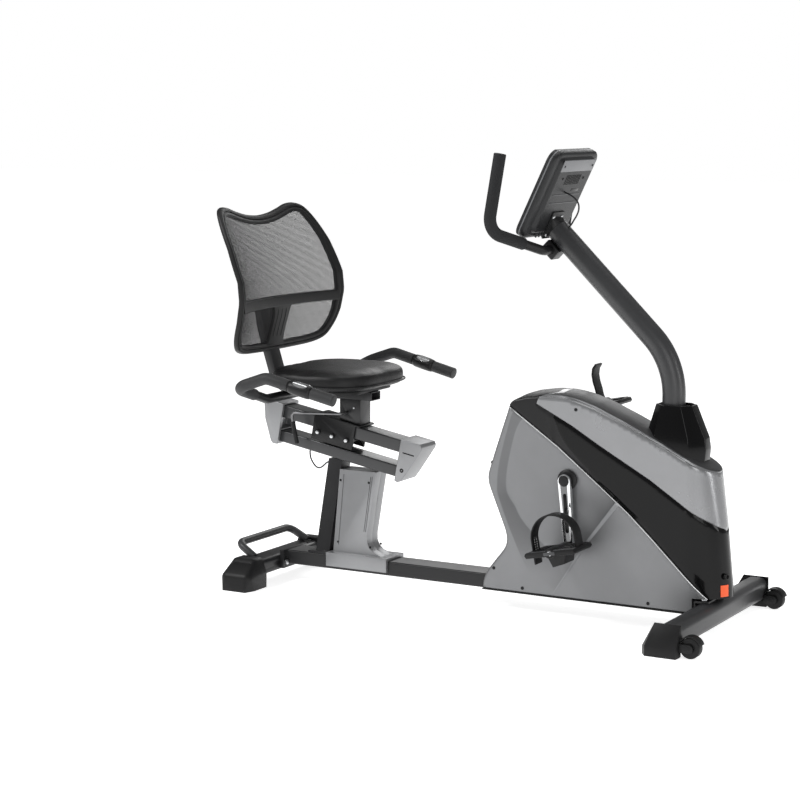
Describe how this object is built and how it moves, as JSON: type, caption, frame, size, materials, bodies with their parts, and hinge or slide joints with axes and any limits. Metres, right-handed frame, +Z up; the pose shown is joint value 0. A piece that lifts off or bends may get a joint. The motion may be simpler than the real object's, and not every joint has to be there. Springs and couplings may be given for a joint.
{
  "type": "recumbent exercise bike",
  "caption": "Recumbent exercise bike: a mesh-backed seat slides on a sloping rail behind enclosed pedals, with a console and handlebar on a curved mast.",
  "frame": {"origin": "middle of the bike's floor footprint, on the floor", "axes": "+X from the seat towards the pedals and console, +Y to the rider's left, +Z up"},
  "size_m": [1.4893, 0.718, 1.226],
  "materials": {
    "beam_paint": "satin",
    "frame_paint": "satin",
    "rail_paint": "satin",
    "grey_tube": "satin",
    "black_plastic": "fine texture",
    "silver_plastic": "satin metallic",
    "panel_plastic": "satin metallic",
    "gloss_black": "gloss",
    "gloss_silver": "gloss",
    "charcoal_plastic": "fine texture",
    "lens": "clear",
    "foam": "matt foam",
    "rubber_black": "matt",
    "cable_rubber": "satin",
    "black_screw": "satin",
    "zinc_bolt": "satin",
    "steel": "ground",
    "chrome_arm": "bright",
    "iron": "machined",
    "vinyl": "satin vinyl",
    "mesh": "open weave",
    "pulley_plastic": "satin"
  },
  "bodies": {
    "frame": {"main_beam": "beam_paint", "front_stabiliser": "beam_paint", "front_caps": "black_plastic", "rear_stabiliser": "beam_paint", "rear_caps": "black_plastic", "rear_handle": "grey_tube", "stabiliser_bolts": "zinc_bolt", "seat_post": "frame_paint", "post_cover_right": "silver_plastic", "post_cover_left": "silver_plastic", "lower_rail": "rail_paint", "upper_rail": "rail_paint", "rail_cap_front": "silver_plastic", "rail_cap_rear": "silver_plastic", "inner_frame": "frame_paint", "mast": "frame_paint", "mast_collar": "gloss_black", "housing_right": "panel_plastic", "housing_left": "panel_plastic", "front_band": "gloss_black", "top_cover": "gloss_silver", "housing_screws": "black_screw", "console_back": "charcoal_plastic", "console_face": "charcoal_plastic", "display_lens": "lens", "console_bracket": "frame_paint", "handlebar": "frame_paint", "bar_grips": "foam", "flywheel_axle": "steel", "belt": "rubber_black", "resistance_motor": "black_plastic", "dc_socket": "black_plastic", "crank_bearings": "steel", "console_cable": "cable_rubber", "sensor_cable": "cable_rubber"},
    "carriage": {"slider": "frame_paint", "seat_frame": "frame_paint", "seat_pan": "black_plastic", "seat_cushion": "vinyl", "back_frame": "black_plastic", "back_mesh": "mesh", "side_bar": "frame_paint", "side_grips": "foam", "pulse_sensors": "chrome_arm"},
    "lever": {"slide_lever": "steel"},
    "crank": {"crank_axle": "steel", "drive_pulley": "pulley_plastic", "crank_arms": "chrome_arm"},
    "pedal_r": {"pedal_right": "black_plastic", "strap_right": "rubber_black"},
    "pedal_l": {"pedal_left": "black_plastic", "strap_left": "rubber_black"},
    "fly": {"flywheel": "iron"},
    "magnet": {"magnet_bracket": "steel"},
    "idler": {"idler_pulley": "pulley_plastic"},
    "wheel_r": {"wheel_right": "rubber_black"},
    "wheel_l": {"wheel_left": "rubber_black"},
    "dial_knob": {"dial": "gloss_black"},
    "key_a": {"key_start": "charcoal_plastic"},
    "key_b": {"key_reset": "charcoal_plastic"}
  },
  "joints": [
    {"name": "seat_slide", "type": "slide", "parent": "frame", "child": "carriage", "axis": [0.9833, 0, -0.1822], "range_m": [-0.095, 0.115]},
    {"name": "lever_turn", "type": "hinge", "parent": "carriage", "child": "lever", "pos_m": [-0.4203, -0.04, 0.492], "axis": [0, 1, 0], "range_deg": [0, 8], "stiffness_Nm_per_rad": 3, "springref_deg": -11.46},
    {"name": "crank_spin", "type": "hinge", "parent": "frame", "child": "crank", "pos_m": [0.2777, 0, 0.37], "axis": [0, 1, 0], "continuous": true},
    {"name": "flywheel_spin", "type": "hinge", "parent": "frame", "child": "fly", "pos_m": [0.4977, 0, 0.224], "axis": [0, 1, 0], "continuous": true},
    {"name": "idler_spin", "type": "hinge", "parent": "frame", "child": "idler", "pos_m": [0.35725, 0.038, 0.22125], "axis": [0, 1, 0], "continuous": true},
    {"name": "pedal_right_spin", "type": "hinge", "parent": "crank", "child": "pedal_r", "pos_m": [0.29311, -0.16, 0.2007], "axis": [0, 1, 0], "continuous": true},
    {"name": "pedal_left_spin", "type": "hinge", "parent": "crank", "child": "pedal_l", "pos_m": [0.26229, 0.16, 0.5393], "axis": [0, 1, 0], "continuous": true},
    {"name": "magnet_turn", "type": "hinge", "parent": "frame", "child": "magnet", "pos_m": [0.42351, 0, 0.34273], "axis": [0, 1, 0], "range_deg": [0, 4]},
    {"name": "wheel_right_spin", "type": "hinge", "parent": "frame", "child": "wheel_r", "pos_m": [0.7187, -0.299, 0.027], "axis": [0, 1, 0], "continuous": true},
    {"name": "wheel_left_spin", "type": "hinge", "parent": "frame", "child": "wheel_l", "pos_m": [0.7187, 0.299, 0.027], "axis": [0, 1, 0], "continuous": true},
    {"name": "dial_turn", "type": "hinge", "parent": "frame", "child": "dial_knob", "pos_m": [0.1659, 0, 1.0565], "axis": [-0.9018, 0, 0.4321], "continuous": true},
    {"name": "key_start_press", "type": "slide", "parent": "frame", "child": "key_a", "axis": [0.9018, 0, -0.4321], "range_m": [0, 0.0015], "stiffness_N_per_m": 600, "springref_m": -0.001},
    {"name": "key_reset_press", "type": "slide", "parent": "frame", "child": "key_b", "axis": [0.9018, 0, -0.4321], "range_m": [0, 0.0015], "stiffness_N_per_m": 600, "springref_m": -0.001}
  ],
  "couplings": [
    {"joint": "flywheel_spin", "follows": "crank_spin", "ratio": 5.6},
    {"joint": "idler_spin", "follows": "crank_spin", "ratio": -8}
  ]
}
